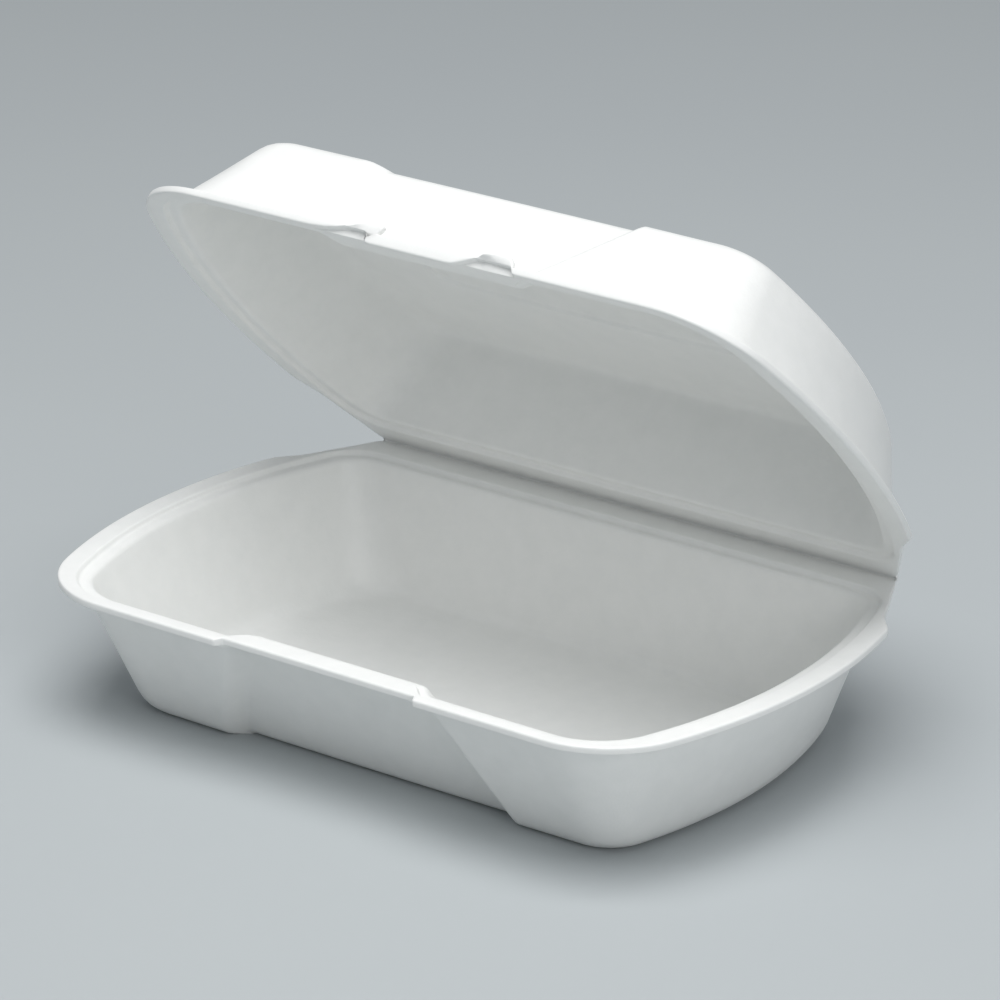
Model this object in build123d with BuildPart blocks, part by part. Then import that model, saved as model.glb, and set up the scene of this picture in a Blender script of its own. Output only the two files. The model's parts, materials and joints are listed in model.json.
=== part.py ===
from build123d import *
from math import sqrt
import os

# A hinged takeaway box thermoformed from one sheet of white foam: a deep tray and a shallower
# lid that share a crease along the long back edge. Millimetres, +Z up. X runs along the crease
# and the front is at -Y. The origin is on the tray's underside, below the middle of its rim.

# Overall sizes
length = 233.0  # rim, from end to end
width = 151.0  # rim, from the front edge to the crease
tray_depth = 42.5  # seam plane to the tray's underside
lid_depth = 34.5  # seam plane to the lid's top
opening = 46.0  # how far the lid stands open, in degrees from closed

# Sheet
wall = 2.5  # foam of the walls, the floor and the lid's top
rim_sheet = 2.2  # foam of the pressed rim
seam_gap = 0.2  # air between the two rims when the box is shut
crease_gap = 0.3  # each rim stops this far from the crease line

# Rim: a sealing land, and a ledge pressed in just inside it
front_land = 3.8
end_land = 6.5
back_land = 9.5
step = 1.5  # how far the ledge lies behind the land
step_overlap = 1.5  # how far the ledge's sheet runs out under the land
end_bow = 169.0  # radius of the bowed ends
front_corner = 31.0
ear_back = 44.0  # the wide end rim stops here, short of the crease
ear_step = 6.0  # how far the rim steps in behind its ear
ear_run = 7.0
crease_half = 93.0  # half the length of the crease
ear_round = 2.5
edge_round = 0.7  # along the seam side of the rim

# Walls
front_rim = 5.5  # from the rim's edge to the outside of the wall
end_rim = 8.0
back_rim = 10.0
front_run = 19.0  # how far each wall leans in on its way to the floor
end_run = 14.5
back_run = 6.5
rim_front_corner = 24.0
rim_back_corner = 14.0
floor_front_corner = 13.0
floor_back_corner = 17.0
floor_round = 6.0
shoulder_round = 2.0

# Recess pressed into each front wall: a trapezoid that widens away from the seam
recess = 5.0
recess_half = 35.5  # half its width at the seam
recess_spread = 0.43  # gained on each side for every millimetre of depth
recess_ramp = 6.0  # width of its slanted sides
ramp_brow = 6.5  # plan radii where a slanted side meets the wall and the recess
ramp_foot = 3.0

# Lock: two hooks under the lid's front edge drop into a notch in the tray's rim. Each slopes
# down gently on its left and comes back up steeply on its right.
hook_sheet = 2.0
lock_gap = 0.4  # air between a hook and the bottom of the notch
notch = hook_sheet + lock_gap
notch_half = 33.5
notch_ramp = 1.5
hook_drop = 4.9
hook_point_round = 0.6
left_hook = -12.4  # X of the left hook's point
right_hook = 32.4
left_hook_run = 21.0  # how far back along the edge its slope starts
right_hook_run = 18.5
hook_lean = 4.6  # how far the steep side leans back, from point to rim
finger_relief = 1.3  # the lid's edge is this much higher between the hooks
finger_depth = 2.6

# Panel pressed up in the lid's top
panel_length = 120.0
panel_width = 32.0
panel_back = 20.0  # its back edge, from the middle of the rim
panel_rise = 1.0
panel_corner = 4.0

back = width / 2
front = -back
relief_left = left_hook - hook_lean
relief_right = right_hook - right_hook_run


def tray_level(depth):
    return Plane.XY.offset(tray_depth - depth)


def lid_level(depth):
    return Plane.XY.offset(tray_depth + seam_gap + depth)


def bow_end(half, bow, y):
    """X of a bowed end at this y."""
    return half - bow + sqrt(bow**2 - y**2)


def outline(level, inset, front_y, back_y, front_radius, back_radius, dent_half):
    """Bowed outline, inset at its ends, with the recess as a dent in its straight front."""
    half = length / 2 - inset
    bow = end_bow - inset
    front_x = bow_end(half, bow, front_y)
    back_x = bow_end(half, bow, back_y)
    dent_y = front_y + recess
    with BuildSketch(level) as flat:
        with BuildLine():
            Polyline(
                (-front_x, front_y),
                (-dent_half, front_y),
                (-dent_half + recess_ramp, dent_y),
                (dent_half - recess_ramp, dent_y),
                (dent_half, front_y),
                (front_x, front_y),
            )
            ThreePointArc((front_x, front_y), (half, 0), (back_x, back_y))
            Line((back_x, back_y), (-back_x, back_y))
            ThreePointArc((-back_x, back_y), (-half, 0), (-front_x, front_y))
        make_face()
        fillet(flat.vertices().group_by(Axis.Y)[-1], back_radius)
        fillet(flat.vertices().group_by(Axis.Y)[0].sort_by(Axis.X)[0:4:3], front_radius)
        fillet(flat.vertices().group_by(Axis.Y)[0].sort_by(Axis.X)[1:3], ramp_brow)
        fillet(flat.vertices().filter_by_position(Axis.Y, dent_y - 0.01, dent_y + 0.01), ramp_foot)
    return flat.sketch


def wall_outline(level, at, depth, inset=0.0):
    """Outside of the wall at one depth, or that far inside it."""
    down = (at - step) / (depth - step)
    return outline(
        level(at),
        end_rim + end_run * down + inset,
        front + front_rim + front_run * down + inset,
        back - back_rim - back_run * down - inset,
        rim_front_corner + (floor_front_corner - rim_front_corner) * down - inset,
        rim_back_corner + (floor_back_corner - rim_back_corner) * down - inset,
        recess_half + recess_spread * at,
    )


def land_outline(level, at, outset=0.0):
    """Inner edge of the sealing land, or that far outside it."""
    return outline(
        level(at),
        end_land - outset,
        front + front_land - outset,
        back - back_land + outset,
        rim_front_corner + outset,
        rim_back_corner + outset,
        recess_half,
    )


def rim_outline(level, notch_depth):
    """Outer edge of a rim: bowed ears, stepped in beside the crease."""
    back_y = back - crease_gap
    front_x = bow_end(length / 2, end_bow, front)
    ear_x = bow_end(length / 2, end_bow, ear_back)
    with BuildSketch(level(0)) as flat:
        with BuildLine():
            Line((-front_x, front), (front_x, front))
            ThreePointArc((front_x, front), (length / 2, 0), (ear_x, ear_back))
            Polyline(
                (ear_x, ear_back),
                (ear_x - ear_step, ear_back + ear_run),
                (crease_half, back_y),
                (-crease_half, back_y),
                (-ear_x + ear_step, ear_back + ear_run),
                (-ear_x, ear_back),
            )
            ThreePointArc((-ear_x, ear_back), (-length / 2, 0), (-front_x, front))
        make_face()
        fillet(flat.vertices().group_by(Axis.Y)[0], front_corner)
        ears = flat.vertices().filter_by_position(Axis.Y, ear_back - 1, ear_back + ear_run + 1)
        fillet(ears, ear_round)
        if notch_depth:
            with BuildLine(mode=Mode.PRIVATE) as cut:
                Polyline(
                    (-notch_half - notch_ramp, front),
                    (-notch_half, front + notch_depth),
                    (notch_half, front + notch_depth),
                    (notch_half + notch_ramp, front),
                    close=True,
                )
            make_face(cut.edges(), mode=Mode.SUBTRACT)
    return flat.sketch


def hollow(level, side, depth):
    """The space inside one half, from its ledge to its floor or top."""
    with BuildPart() as space:
        mouth = wall_outline(level, step, depth, wall)
        floor = wall_outline(level, depth - wall, depth, wall)
        loft([mouth, floor], ruled=True)
        flat = space.faces().sort_by(Axis((0, 0, 0), (0, 0, side)))[-1]
        fillet(flat.edges(), floor_round - wall)
    return space.part


def half_shell(level, side, depth, notch_depth):
    """One half of the box: side is 1 where its floor lies above the seam, -1 where below."""
    seam = level(0).origin.Z
    ledge = level(step).origin.Z
    inside = hollow(level, side, depth)
    with BuildPart() as shell:
        loft([wall_outline(level, step, depth), wall_outline(level, depth, depth)], ruled=True)
        flat = shell.faces().sort_by(Axis((0, 0, 0), (0, 0, side)))[-1]
        fillet(flat.edges(), floor_round)
        extrude(rim_outline(level, notch_depth), amount=side * rim_sheet)
        rim_edges = shell.edges().filter_by_position(Axis.Z, seam - 0.01, seam + 0.01)
        fillet(rim_edges, edge_round)
        extrude(land_outline(level, step, step_overlap), amount=side * rim_sheet)
        extrude(land_outline(level, 0), amount=side * step, mode=Mode.SUBTRACT)
        add(inside, mode=Mode.SUBTRACT)
        brink = shell.faces().filter_by_position(Axis.Z, ledge - 0.01, ledge + 0.01)
        fillet(brink.sort_by(SortBy.AREA)[-1].inner_wires()[0].edges(), shoulder_round)
    return shell.part


def hook_outline(point, run):
    """One hook, seen from the front, with its root buried in the rim."""
    root = rim_sheet / 2
    with BuildSketch(Plane((0, front, tray_depth + seam_gap), x_dir=(1, 0, 0), z_dir=(0, -1, 0))) as flat:
        with BuildLine():
            Polyline(
                (point - run, root),
                (point - run, -0.1 * hook_drop),
                (point - 0.4 * run, -0.65 * hook_drop),
                (point - 0.1 * run, -hook_drop),
                (point, -hook_drop),
                (point - hook_lean, root),
                close=True,
            )
        make_face()
        fillet(flat.vertices().group_by(Axis.Y)[0], hook_point_round)
    return flat.sketch


tray = half_shell(tray_level, -1, tray_depth, notch)
tray.label = "tray"

lid_shell = half_shell(lid_level, 1, lid_depth, 0.0)
with BuildPart() as shut_lid:
    add(lid_shell)
    with BuildSketch(lid_level(lid_depth)):
        with Locations((0, panel_back - panel_width / 2)):
            RectangleRounded(panel_length, panel_width, panel_corner)
    extrude(amount=panel_rise)
    with BuildSketch(lid_level(lid_depth - wall)):
        with Locations((0, panel_back - panel_width / 2)):
            RectangleRounded(panel_length - wall, panel_width - wall, panel_corner)
    extrude(amount=panel_rise, mode=Mode.SUBTRACT)
    with BuildSketch(Plane((0, front, tray_depth + seam_gap), x_dir=(1, 0, 0), z_dir=(0, -1, 0))):
        with Locations(((relief_left + relief_right) / 2, 0)):
            Rectangle(relief_right - relief_left, 2 * finger_relief)
    extrude(amount=-finger_depth, mode=Mode.SUBTRACT)
    extrude(hook_outline(left_hook, left_hook_run), amount=-hook_sheet)
    extrude(hook_outline(right_hook, right_hook_run), amount=-hook_sheet)

crease = Axis((0, back, tray_depth), (1, 0, 0))
lid = shut_lid.part.rotate(crease, -opening)
lid.label = "lid"

os.makedirs("parts", exist_ok=True)
export_step(tray, "parts/tray.step")
export_step(lid, "parts/lid.step")
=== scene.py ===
# %% [markdown]
# # A hinged takeaway box in white foam
#
# The object is one sheet of white polystyrene foam. A press heated it and drew it into two dishes
# that stay joined along a crease: a deep tray and a shallower lid. Nothing is glued on, so the whole
# look comes from soft bends, thin cut edges and a satin skin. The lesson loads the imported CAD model,
# builds both dishes as smooth skins in the same places, adds the crease, and lights them softly.

# %% Load the frame
import json
import math

import bmesh
import bpy
import numpy as np
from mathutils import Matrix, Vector


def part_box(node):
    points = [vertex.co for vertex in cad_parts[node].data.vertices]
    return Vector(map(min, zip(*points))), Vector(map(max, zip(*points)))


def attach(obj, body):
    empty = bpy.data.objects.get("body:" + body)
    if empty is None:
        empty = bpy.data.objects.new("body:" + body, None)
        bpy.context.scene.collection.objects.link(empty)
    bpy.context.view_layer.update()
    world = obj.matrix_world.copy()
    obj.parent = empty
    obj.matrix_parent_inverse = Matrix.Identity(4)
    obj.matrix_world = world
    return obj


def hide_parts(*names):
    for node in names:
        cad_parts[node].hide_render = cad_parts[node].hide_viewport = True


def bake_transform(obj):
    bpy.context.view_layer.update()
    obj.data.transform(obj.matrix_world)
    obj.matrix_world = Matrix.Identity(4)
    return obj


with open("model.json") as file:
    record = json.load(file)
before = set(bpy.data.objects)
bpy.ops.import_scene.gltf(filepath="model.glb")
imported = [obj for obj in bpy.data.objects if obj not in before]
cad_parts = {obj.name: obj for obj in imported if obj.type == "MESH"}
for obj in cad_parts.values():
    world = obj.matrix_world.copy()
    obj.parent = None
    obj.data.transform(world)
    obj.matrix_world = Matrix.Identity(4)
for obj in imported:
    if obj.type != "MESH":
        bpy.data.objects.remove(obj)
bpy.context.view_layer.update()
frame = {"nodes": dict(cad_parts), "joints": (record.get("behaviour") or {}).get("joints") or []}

# %% [markdown]
# ## Sizes from the frame
#
# The frame is in metres, and a foam sheet is easier to think about in millimetres, so one number
# converts. The hinge tells where the crease and the seam are, and the lower end of its range is the
# shut lid. Turning the lid's points shut shows how deep the lid is.

# %% Read the sizes
MM = 0.001
hinge = frame["joints"][0]
crease_y, seam_z = hinge["pos_m"][1] / MM, hinge["pos_m"][2] / MM
rest_turn = math.radians(hinge["range_deg"][0])
tray_low, tray_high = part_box("tray")
half_length = tray_high.x / MM
front_y = tray_low.y / MM
tray_depth = (tray_high.z - tray_low.z) / MM


def turn_about_crease(points, angle):
    """Points in millimetres, turned about the crease."""
    y, z = points[..., 1] - crease_y, points[..., 2] - seam_z
    turned = points.copy()
    turned[..., 1] = crease_y + y * math.cos(angle) - z * math.sin(angle)
    turned[..., 2] = seam_z + y * math.sin(angle) + z * math.cos(angle)
    return turned


lid_points = np.array([v.co for v in frame["nodes"]["lid"].data.vertices]) / MM
shut_points = turn_about_crease(lid_points, -rest_turn)
seam_gap = 0.2  # air between the rims when the box is shut
panel_rise = 1.0
lid_depth = shut_points[:, 2].max() - seam_z - seam_gap - panel_rise
print("tray depth", round(tray_depth, 1), "lid depth", round(lid_depth, 1), "mm")

# %% [markdown]
# ## Rings
#
# A pressed dish is easiest to build as rings, as a potter would: one closed line for the rim, one for
# the inner edge of its flat land, one for the top of the wall, one for its foot. If every ring has
# the same number of points, and the points are matched at the corners, the skin between two rings is
# a clean strip of four-sided faces. The front ring has more points where the hooks will be.

# %% Points along the front edge
end_bow = 169.0  # radius of the bowed ends
recess = 5.0  # how deep each front wall is pressed in
recess_half = 35.5
recess_spread = 0.43
recess_ramp = 7.0
corner_points, end_points, ear_points, back_points = 36, 84, 56, 90
ear_back, ear_step, ear_run, ear_round, crease_half = 44.0, 6.0, 7.0, 2.5, 93.0
corner_x = 78.1  # where the rim's front corners begin

stretches = [(-corner_x, -38, 1.1), (-38, -21, 0.6), (-21, -17, 0.22), (-17, 13, 1.0), (13, 29, 0.6),
             (29, 34, 0.25), (34, 38, 0.5), (38, corner_x, 1.1)]
front_marks = np.concatenate([
    np.linspace(a, b, max(2, round((b - a) / gap)), endpoint=False) for a, b, gap in stretches
] + [[corner_x]])
print("points along the front", len(front_marks))

# %% Helpers for paths


def smooth(t):
    """0 below 0, 1 above 1, and an easy S between."""
    t = np.clip(t, 0, 1)
    return t * t * (3 - 2 * t)


def arc(centre_x, centre_y, radius, start, end, count):
    angle = np.linspace(start, end, count)
    return np.stack([centre_x + radius * np.cos(angle), centre_y + radius * np.sin(angle)], 1)


def spaced(path, count):
    """The same path with its points spaced evenly along it."""
    steps = np.linalg.norm(np.diff(path, axis=0), axis=1)
    length = np.r_[0, np.cumsum(steps)]
    at = np.linspace(0, length[-1], count)
    return np.stack([np.interp(at, length, path[:, k]) for k in range(path.shape[1])], 1)


def soft_path(corners, trims, samples):
    """Many paths at once, with their corners rounded. corners holds one array of points a corner."""
    rows = [corners[0]]
    for before, at, after, trim in zip(corners, corners[1:], corners[2:], trims):
        back, on = before - at, after - at
        back_length = np.maximum(np.linalg.norm(back, axis=1), 1e-6)[:, None]
        on_length = np.maximum(np.linalg.norm(on, axis=1), 1e-6)[:, None]
        cut = np.minimum(trim, 0.46 * np.minimum(back_length, on_length))
        start, end = at + back / back_length * cut, at + on / on_length * cut
        for s in np.linspace(0, 1, samples):
            rows.append((1 - s) ** 2 * start + 2 * s * (1 - s) * at + s * s * end)
    rows.append(corners[-1])
    return rows


# %% One ring of the dish


def ring(inset, front, back, front_radius, back_radius, dent_half, ear=False):
    """A closed outline in plan, in millimetres, going right along the front and round."""
    bow = end_bow - inset
    bow_x = half_length - inset - bow
    corner_y = front + front_radius
    corner_cx = bow_x + math.sqrt((bow - front_radius) ** 2 - corner_y**2)
    front_angle = math.atan2(corner_y, corner_cx - bow_x)
    inner = dent_half - recess_ramp
    marks = [-corner_x, -recess_half, recess_ramp - recess_half]
    marks += [-m for m in reversed(marks)]
    knots = [-corner_cx, -dent_half, -inner, inner, dent_half, corner_cx]
    x = np.interp(front_marks, marks, knots)
    y = front + (0 if ear else recess) * smooth((dent_half - np.abs(x)) / recess_ramp)
    corner = arc(corner_cx, corner_y, front_radius, -math.pi / 2, front_angle, corner_points)
    if ear:
        split = ear_back
        ear_x = bow_x + math.sqrt(bow**2 - split**2)
        bends = [(ear_x, split), (ear_x - ear_step, split + ear_run), (crease_half, back)]
        start = (ear_x + 0.6, split - 2.6)
        bends = [np.array([p]) for p in [start, *bends, (crease_half - 9, back)]]
        turn = np.concatenate(soft_path(bends, [ear_round] * 3, 9))[1:]
        back_x = crease_half - ear_round
        turn = turn[:-1]
        split = turn[0, 1]
    else:
        back_cy = back - back_radius
        back_x = bow_x + math.sqrt((bow - back_radius) ** 2 - back_cy**2)
        back_angle = math.atan2(back_cy, back_x - bow_x)
        split = min(ear_back, bow * math.sin(back_angle) - 4)
        turn = np.concatenate([
            arc(bow_x, 0, bow, math.asin(split / bow), back_angle, 60)[:-1],
            arc(back_x, back_cy, back_radius, back_angle, math.pi / 2, 80),
        ])
    end = arc(bow_x, 0, bow, front_angle, math.asin(split / bow), end_points)
    turn = spaced(turn, ear_points)
    right = np.concatenate([corner[1:], end[1:], turn[1:]])
    along = np.linspace(right[-1, 0], -right[-1, 0], back_points)[1:-1]
    rear = np.stack([along, np.full(len(along), back)], 1)
    return np.concatenate([np.stack([x, y], 1), right, rear, right[::-1] * (-1, 1)])


# %% [markdown]
# ## The lock
#
# The lid's front edge carries two hooks that snap into a notch in the tray's edge. They are the same
# sheet, drawn down past the seam: each slopes down gently on its left and comes back steeply, a
# little undercut, on its right. Between them the edge is a little higher, where a finger opens the
# box. A list of points gives each hook's lower edge, and one number a point says where along the rim
# it grows from.

# %% The hooks' lower edge
# Root on the rim, then X and height of the lower edge, in millimetres.
lock_points = np.array([
    (-39.0, -39.0, 0.0), (-36.0, -36.0, -0.1), (-32.0, -31.5, -0.5), (-28.5, -27.6, -1.3),
    (-25.5, -23.8, -2.5), (-22.8, -20.0, -3.6), (-20.8, -16.4, -4.6), (-19.7, -13.8, -4.95),
    (-19.0, -12.5, -4.8), (-18.6, -12.4, -4.2), (-18.1, -13.3, -2.4), (-17.5, -15.2, -0.2),
    (-16.9, -16.9, 1.1), (-15.5, -15.5, 1.3),
    (12.0, 12.0, 1.3), (13.6, 13.6, 1.1), (16.5, 16.5, -0.2), (19.5, 19.5, -1.8), (23.0, 23.0, -3.5),
    (26.5, 26.8, -4.7), (28.6, 29.2, -4.95), (30.2, 31.2, -4.8), (31.2, 32.3, -3.9),
    (31.9, 32.9, -2.6), (32.6, 33.1, -1.0), (33.6, 33.7, -0.1), (35.5, 35.5, 0.0),
])
hook_sheet = 2.0
lock_x = np.interp(front_marks, lock_points[:, 0], lock_points[:, 1])
lock_x = np.where((front_marks < -39) | (front_marks > 35.5), front_marks, lock_x)
lock_z = np.interp(front_marks, lock_points[:, 0], lock_points[:, 2], left=0, right=0)
print("hooks reach", lock_z.min(), "mm below the seam")

# %% [markdown]
# ## A dish from its rings
#
# The sheet goes in along one face and back along the other: up the inside of the floor, over the
# wall and the shoulder, down the small step, across the land, round the cut edge, and home along the
# outside. Each bend gets a radius, because heated foam never makes a sharp corner. The rim is pinched
# thin beside the crease.

# %% The sheet and its bends
wall, rim_sheet, step, pinched = 2.5, 2.2, 1.5, 1.0
front_land, end_land, back_land = 3.8, 6.5, 9.5
front_rim, end_rim, back_rim = 5.5, 8.0, 10.0
front_run, end_run, back_run = 19.0, 14.5, 6.5
crease_gap = 0.3
back_y = crease_y
rim_back = crease_y - crease_gap
notch, notch_half, notch_ramp = 2.4, 33.5, 1.5
floor_crown = 0.4


def land_ring(outset):
    return ring(end_land - outset, front_y + front_land - outset, back_y - back_land + outset,
                24 + outset, 14 + outset, recess_half)


def wall_ring(depth, share, inset):
    """Outside of the wall, or that far inside it, at a share of its depth."""
    return ring(end_rim + end_run * share + inset, front_y + front_rim + front_run * share + inset,
                back_y - back_rim - back_run * share - inset, 24 - 11 * share - inset,
                14 + 3 * share - inset, recess_half + recess_spread * depth * share)


def inboard(edge, inner, distance, share):
    """Points that far in from the edge, but at most this share of the way to the inner line."""
    across = inner - edge
    width = np.linalg.norm(across, axis=1)[:, None]
    return edge + across * np.minimum(distance / np.maximum(width, 1e-6), share)


def at_depth(plan, depth):
    return np.column_stack([plan, np.broadcast_to(depth, len(plan))])


# %% The floor and the lid's raised panel
middle = np.array([0.0, 4.0])
panel_half = np.array([60.0, 16.0])


def panel_ring(outline, grow):
    """The outline shrunk onto the panel's rounded rectangle."""
    away = outline - middle
    share = (np.abs(away / (panel_half + grow)) ** 10).sum(1) ** 0.1
    return middle + away / share[:, None]


def floor_rows(outline, depth, rise, crown):
    """Rows of a floor from its middle outwards. Foam floors crown a little as they cool."""
    rows = []
    if rise:
        inner, foot = panel_ring(outline, -0.7), panel_ring(outline, 0.7)
        rows += [(middle + (inner - middle) * share, rise) for share in (0.03, 0.2, 0.45, 0.7, 0.9)]
        rows += [(inner + (foot - inner) * t, rise * (1 - smooth(t))) for t in np.linspace(0, 1, 6)]
        rows += [(foot + (outline - foot) * share, 0.0) for share in (0.1, 0.3, 0.5, 0.7, 0.9)]
    else:
        shares = (0.03, 0.15, 0.3, 0.45, 0.6, 0.75, 0.88, 0.96)
        rows += [(middle + (outline - middle) * share, 0.0) for share in shares]
    reach = np.abs(outline - middle).max(0)
    return [
        at_depth(plan, depth + up - crown * (1 - smooth(np.linalg.norm((plan - middle) / reach, axis=1))))
        for plan, up in rows
    ]


# %% Every row of a dish


def dish_rows(depth, rise, lip_x, lip_z, notched, crown):
    edge = ring(0, front_y, rim_back, 31, 0, recess_half, ear=True)
    edge_sheet = rim_sheet - (rim_sheet - pinched) * smooth((edge[:, 1] - crease_y + 16) / 14)
    along_front = slice(0, len(front_marks))
    if notched:
        out = notch_half + notch_ramp - np.abs(edge[along_front, 0])
        edge[along_front, 1] += notch * smooth(out / notch_ramp)
    lip, drop = edge.copy(), np.zeros(len(edge))
    lip[along_front, 0] += lip_x - front_marks
    drop[along_front] = -lip_z
    behind = inboard(edge, land_ring(0), hook_sheet, 0.5)
    under = land_ring(1.5)
    inside_foot, outside_foot = wall_ring(depth, 1.0, wall), wall_ring(depth, 1.0, 0)
    # Each bend: its line in plan, its depth behind the seam and how far back its rounding starts.
    bends = [
        (middle + (inside_foot - middle) * 0.88, depth - wall, 0),
        (inside_foot, depth - wall, 5.0),
        (wall_ring(depth, 0.0, wall), step, 1.9),
        (land_ring(-0.7), step, 0.7),
        (land_ring(0), 0.0, 0.6),
        (behind, 0.0, 0.3),
        (lip + (behind - edge) * 0.9, drop, 0.6),
        (lip, drop, 0.75),
        (edge, edge_sheet, 0.5),
        (inboard(edge, under, 9, 0.35), rim_sheet, 0.8),
        (under, rim_sheet, 0.4),
        (land_ring(1.1), step + rim_sheet - 0.2, 0.5),
        (wall_ring(depth, 0.03, 0), step + rim_sheet, 1.0),
        (outside_foot, depth, 6.2),
        (middle + (outside_foot - middle) * 0.86, depth, 0),
    ]
    corners = [at_depth(plan, behind_seam) for plan, behind_seam, _ in bends]
    rows = soft_path(corners, [trim for _, _, trim in bends[1:-1]], 6)
    inside = floor_rows(bends[0][0], depth - wall, rise, crown)
    outside = floor_rows(bends[-1][0], depth, rise, crown)
    rows = inside + rows + outside[::-1]
    return fill_walls(rows)


def fill_walls(rows, gap=3.0):
    """Adds rows where two neighbours are far apart in depth, so that a wall can be shaped."""
    filled = [rows[0]]
    for before, after in zip(rows, rows[1:]):
        parts = max(1, round(np.abs(after[:, 2] - before[:, 2]).max() / gap))
        filled += [before + (after - before) * (k / parts) for k in range(1, parts + 1)]
    return filled


# %% [markdown]
# ## Life in the walls
#
# A pressed sheet is never quite flat: it draws unevenly and relaxes as it cools. A few slow waves, a
# tenth of a millimetre high, keep the long walls from looking machined. Above each hook the wall
# swells into a soft gusset that stiffens the lock.

# %% Shape the walls
gussets = [(21.0, 8.0, 1.8, 13.0), (-25.0, 7.0, 1.3, 9.0)]  # X, half width, swell and height


def shape_walls(rows, depth, with_gussets):
    for row in rows:
        x, y, d = row[:, 0].copy(), row[:, 1].copy(), row[:, 2]
        share = smooth((d - 6) / 8) * smooth((depth - 3 - d) / 6)
        wave = (np.sin(x / 13 + y / 19) + np.sin(x / 29 - y / 11 + 2) + np.sin(d / 6 + x / 17 + 1)) / 3
        away = np.stack([x / half_length, y / abs(front_y)], 1)
        away /= np.maximum(np.linalg.norm(away, axis=1), 1e-6)[:, None]
        row[:, :2] += away * (share * wave * 0.15)[:, None]
        if with_gussets:
            at_wall = (y < -40) * smooth((d - 2.3) / 1.5)
            for middle_x, half_width, swell, height in gussets:
                row[:, 1] -= at_wall * swell * np.exp(-(((x - middle_x) / half_width) ** 2) - (d / height) ** 2)
    return rows


# %% Turn rows into a mesh


def skin(name, rows):
    """One closed mesh from rows of points: strips between the rows and a small cap at each end."""
    count, last = len(rows[0]), len(rows) - 1
    points = np.concatenate([*rows, [rows[0].mean(0)], [rows[-1].mean(0)]]) * MM
    here = np.arange(count)
    beside = (here + 1) % count
    faces = []
    for r in range(last):
        a, b = r * count, (r + 1) * count
        faces += np.stack([a + here, a + beside, b + beside, b + here], 1).tolist()
    top, end = len(points) - 2, len(points) - 1
    faces += np.stack([beside, here, np.full(count, top)], 1).tolist()
    faces += np.stack([last * count + here, last * count + beside, np.full(count, end)], 1).tolist()
    mesh = bpy.data.meshes.new(name)
    mesh.from_pydata(points.tolist(), [], faces)
    shaped = bmesh.new()
    shaped.from_mesh(mesh)
    bmesh.ops.recalc_face_normals(shaped, faces=shaped.faces)
    shaped.to_mesh(mesh)
    shaped.free()
    mesh.shade_smooth()
    piece = bpy.data.objects.new(name, mesh)
    bpy.context.scene.collection.objects.link(piece)
    print(name, len(mesh.polygons), "faces, size in mm", [round(v / MM, 1) for v in piece.dimensions])
    return piece


# %% [markdown]
# ## The tray
#
# The tray's rows hang down from the seam, so their depth is taken off the seam's height.

# %% Build the tray
rows = dish_rows(tray_depth, 0, front_marks, 0 * front_marks, True, 0.4)
rows = shape_walls(rows, tray_depth, False)
tray_rows = [np.column_stack([row[:, :2], seam_z - row[:, 2]]) for row in rows]
tray = skin("foam_tray", tray_rows)
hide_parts("tray")
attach(tray, "tray")

# %% [markdown]
# ## The lid
#
# The lid is built shut, upwards from the seam, and then turned open about the crease by the angle at
# which the frame holds it.

# %% Build the lid
rows = dish_rows(lid_depth, panel_rise, lock_x, lock_z, False, 0.3)
rows = shape_walls(rows, lid_depth, True)
lid_rows = [np.column_stack([row[:, :2], seam_z + seam_gap + row[:, 2]]) for row in rows]
lid = skin("foam_lid", [turn_about_crease(row, rest_turn) for row in lid_rows])
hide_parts("lid")
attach(lid, "lid")

# %% [markdown]
# ## The crease
#
# The two dishes are one sheet, pressed to about 0.7 mm along the line where they fold. That strip
# belongs to both, so it is a piece of its own, built bent at the lid's resting angle and fixed there:
# one end lies along the tray, the other along the lid, and the arc between wraps round the fold line.

# %% Build the crease
fold_inner, fold_outer, leg = 0.3, 0.95, 2.2
open_angle = math.pi + rest_turn  # how far the lid's outside has turned from the tray's


def fold_side(radius, legs):
    """Y and Z of the strip's inside or outside, from the tray round to the lid."""
    angles = -math.pi / 2 + np.linspace(0, 1, 11) * open_angle
    path = [(crease_y + radius * math.cos(a), seam_z + radius * math.sin(a)) for a in angles]
    last = angles[-1]
    start = [(crease_y - leg * k, seam_z - radius) for k in legs[::-1]]
    out_y, out_z = math.cos(last), math.sin(last)
    end = [(path[-1][0] - leg * k * out_z * 1.0, path[-1][1] + leg * k * out_y) for k in legs]
    return np.array(start + path + end), (out_y, out_z)


inner_side, _ = fold_side(fold_inner, (0.5, 1.0))
outer_side, _ = fold_side(fold_outer, (0.5, 1.0))
loop = np.concatenate([inner_side, outer_side[::-1]])
crease_rows = [np.column_stack([np.full(len(loop), x), loop])
               for x in np.linspace(-crease_half + 0.4, crease_half - 0.4, 140)]
crease = skin("foam_crease", crease_rows)
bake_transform(crease)

# %% [markdown]
# ## Colours and nodes
#
# Colours are picked as the eye reads them, as sRGB hex, and Blender mixes light linearly, so one
# function turns one into the other. Another adds a node with its settings and its links.

# %% Helpers for materials


def linear(hex_colour):
    """An sRGB hex colour as linear RGBA."""
    parts = [int(hex_colour[k:k + 2], 16) / 255 for k in (1, 3, 5)]
    return (*[p / 12.92 if p <= 0.04045 else ((p + 0.055) / 1.055) ** 2.4 for p in parts], 1.0)


def add_node(tree, kind, inputs, **settings):
    """A node with its settings. Each input gets a value, or a link if it is another node's output."""
    made = tree.nodes.new(kind)
    for name, value in settings.items():
        setattr(made, name, value)
    for socket, value in inputs.items():
        if isinstance(value, bpy.types.NodeSocket):
            tree.links.new(value, made.inputs[socket])
        else:
            made.inputs[socket].default_value = value
    return made


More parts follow.
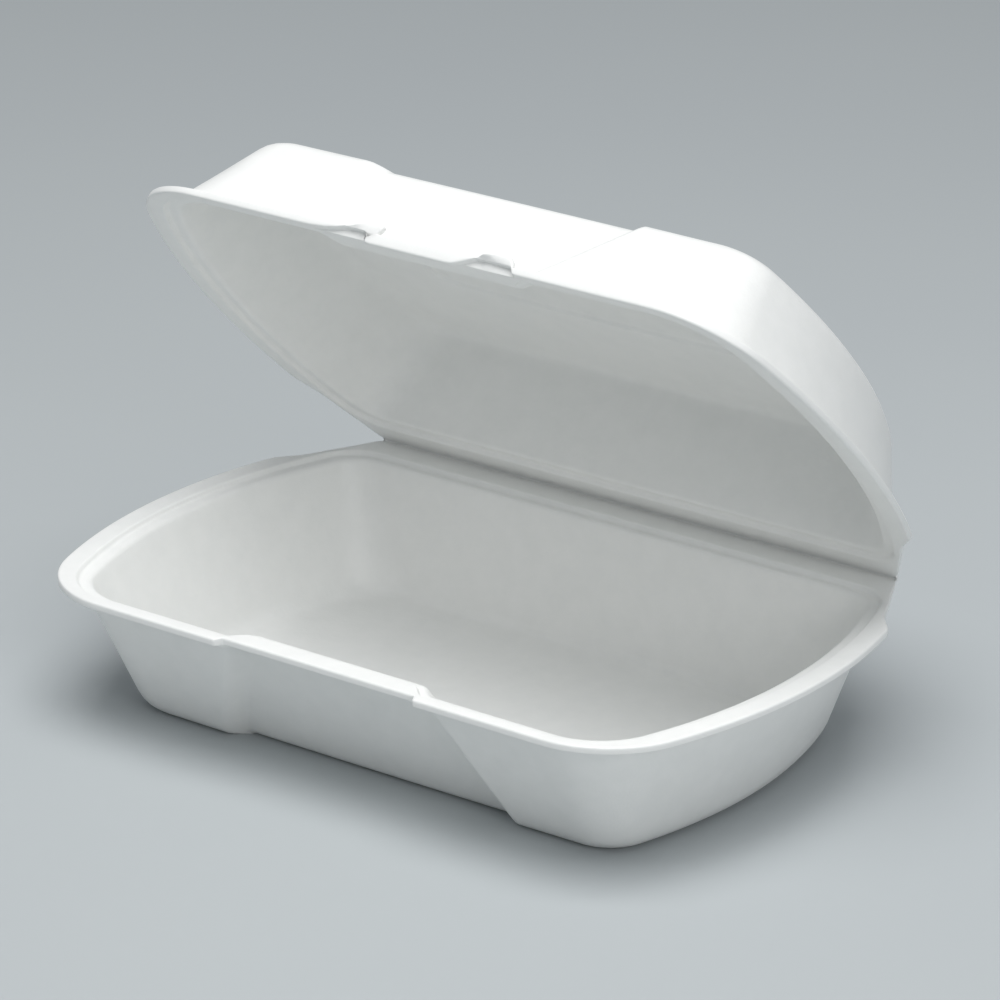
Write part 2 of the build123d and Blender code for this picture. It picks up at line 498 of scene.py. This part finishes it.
def new_material(name):
    material = bpy.data.materials.new(name)
    material.use_nodes = True
    material.node_tree.nodes.clear()
    return material, material.node_tree


# %% [markdown]
# ## Expanded polystyrene foam
#
# The sheet is polystyrene blown into fine closed cells, with a thin satin skin from the hot press.
# Three things reach the eye: a faint mottle where cells let more light in, a skin that is a touch
# uneven, and tiny domes of the cells under it. Real cells are about 0.3 mm, too fine to show here,
# so they are drawn at 0.9 mm. A little light goes into the foam and comes out again beside where it
# entered, which softens every shadow edge on it.

# %% Make the foam
foam, tree = new_material("thermoformed_polystyrene_foam")
place = add_node(tree, "ShaderNodeTexCoord", {}).outputs["Object"]
cell_mm, mottle_mm, skin_mm = 0.9, 7.0, 2.6
cells = add_node(tree, "ShaderNodeTexVoronoi", {"Vector": place, "Scale": 1000 / cell_mm}, feature="SMOOTH_F1")
mottle = add_node(tree, "ShaderNodeTexNoise",
                  {"Vector": place, "Scale": 1000 / mottle_mm, "Detail": 4.0, "Roughness": 0.6})
uneven = add_node(tree, "ShaderNodeTexNoise", {"Vector": place, "Scale": 1000 / skin_mm, "Detail": 2.0})
white = add_node(tree, "ShaderNodeMix",
                 {"Factor": mottle.outputs["Fac"], "A": linear("#EFF0EE"), "B": linear("#F8F8F6")},
                 data_type="RGBA")
gloss = add_node(tree, "ShaderNodeMapRange",
                 {"Value": mottle.outputs["Fac"], "From Min": 0.3, "From Max": 0.7, "To Min": 0.36, "To Max": 0.46})
domes = add_node(tree, "ShaderNodeBump",
                 {"Height": cells.outputs["Distance"], "Strength": 0.35, "Distance": 0.00008}, invert=True)
relief = add_node(tree, "ShaderNodeBump",
                  {"Height": uneven.outputs["Fac"], "Strength": 0.5, "Distance": 0.00012,
                   "Normal": domes.outputs["Normal"]})
surface = add_node(tree, "ShaderNodeBsdfPrincipled",
                   {"Base Color": white.outputs["Result"], "Roughness": gloss.outputs["Result"], "IOR": 1.5,
                    "Subsurface Weight": 0.15, "Subsurface Radius": (0.004, 0.004, 0.0038),
                    "Subsurface Scale": 1.0, "Normal": relief.outputs["Normal"]})
add_node(tree, "ShaderNodeOutputMaterial", {"Surface": surface.outputs["BSDF"]})
for piece in (tray, lid, crease):
    piece.data.materials.append(foam)
print("foam on", [piece.name for piece in (tray, lid, crease)])

# %% [markdown]
# ## The table
#
# The box stands on a plain, pale grey studio sheet. White foam needs a ground that is darker than
# itself, or its edges vanish.

# %% Make the floor
paper, tree = new_material("matt_backdrop_paper")
place = add_node(tree, "ShaderNodeTexCoord", {}).outputs["Object"]
cloud = add_node(tree, "ShaderNodeTexNoise", {"Vector": place, "Scale": 3.0, "Detail": 2.0})
grey = add_node(tree, "ShaderNodeMix",
                {"Factor": cloud.outputs["Fac"], "A": linear("#B4B9BC"), "B": linear("#BABFC0")}, data_type="RGBA")
surface = add_node(tree, "ShaderNodeBsdfPrincipled",
                   {"Base Color": grey.outputs["Result"], "Roughness": 0.9, "Specular IOR Level": 0.2})
add_node(tree, "ShaderNodeOutputMaterial", {"Surface": surface.outputs["BSDF"]})
floor_mesh = bpy.data.meshes.new("backdrop")
shaped = bmesh.new()
bmesh.ops.create_circle(shaped, cap_ends=True, segments=96, radius=9.0)
shaped.to_mesh(floor_mesh)
shaped.free()
floor = bpy.data.objects.new("backdrop", floor_mesh)
floor.data.materials.append(paper)
bpy.context.scene.collection.objects.link(floor)

# %% [markdown]
# ## Light and camera
#
# A big soft lamp overhead does most of the work, and lights what faces up: the open lid's front wall
# and the rims. A second one, low on the right, reaches under the lid. The camera stands far off with
# a long lens, which keeps the long edges nearly parallel.

# %% Light the studio
world = bpy.data.worlds.new("studio")
bpy.context.scene.world = world
world.use_nodes = True
tree = world.node_tree
tree.nodes.clear()
seen = add_node(tree, "ShaderNodeLightPath", {}).outputs["Is Camera Ray"]
ambient = add_node(tree, "ShaderNodeBackground", {"Color": linear("#E9EEF2"), "Strength": 0.34})
behind = add_node(tree, "ShaderNodeBackground", {"Color": linear("#B7BCBE"), "Strength": 1.0})
both = add_node(tree, "ShaderNodeMixShader", {0: seen, 1: ambient.outputs[0], 2: behind.outputs[0]})
add_node(tree, "ShaderNodeOutputWorld", {"Surface": both.outputs[0]})


def softbox(name, place, aim, width, height, watts):
    lamp = bpy.data.lights.new(name, "AREA")
    lamp.shape, lamp.size, lamp.size_y, lamp.energy = "RECTANGLE", width, height, watts
    lamp_object = bpy.data.objects.new(name, lamp)
    lamp_object.location = place
    lamp_object.rotation_euler = (Vector(aim) - Vector(place)).to_track_quat("-Z", "Y").to_euler()
    bpy.context.scene.collection.objects.link(lamp_object)


softbox("overhead", (0.15, -0.25, 1.5), (0, 0, 0.05), 1.1, 1.1, 20)
softbox("side", (1.5, -0.7, 0.7), (0, 0, 0.05), 0.9, 0.7, 5)

# %% Place the camera
camera = bpy.data.objects.new("camera", bpy.data.cameras.new("camera"))
camera.data.sensor_width, camera.data.lens = 36.0, 201.5
camera.location = (0.8893, -1.1732, 0.6490)
aim = Vector((-0.0049, 0.0172, 0.0620))
camera.rotation_euler = (aim - camera.location).to_track_quat("-Z", "Y").to_euler()
bpy.context.scene.collection.objects.link(camera)
bpy.context.scene.camera = camera
bpy.context.scene.view_settings.view_transform = "Standard"
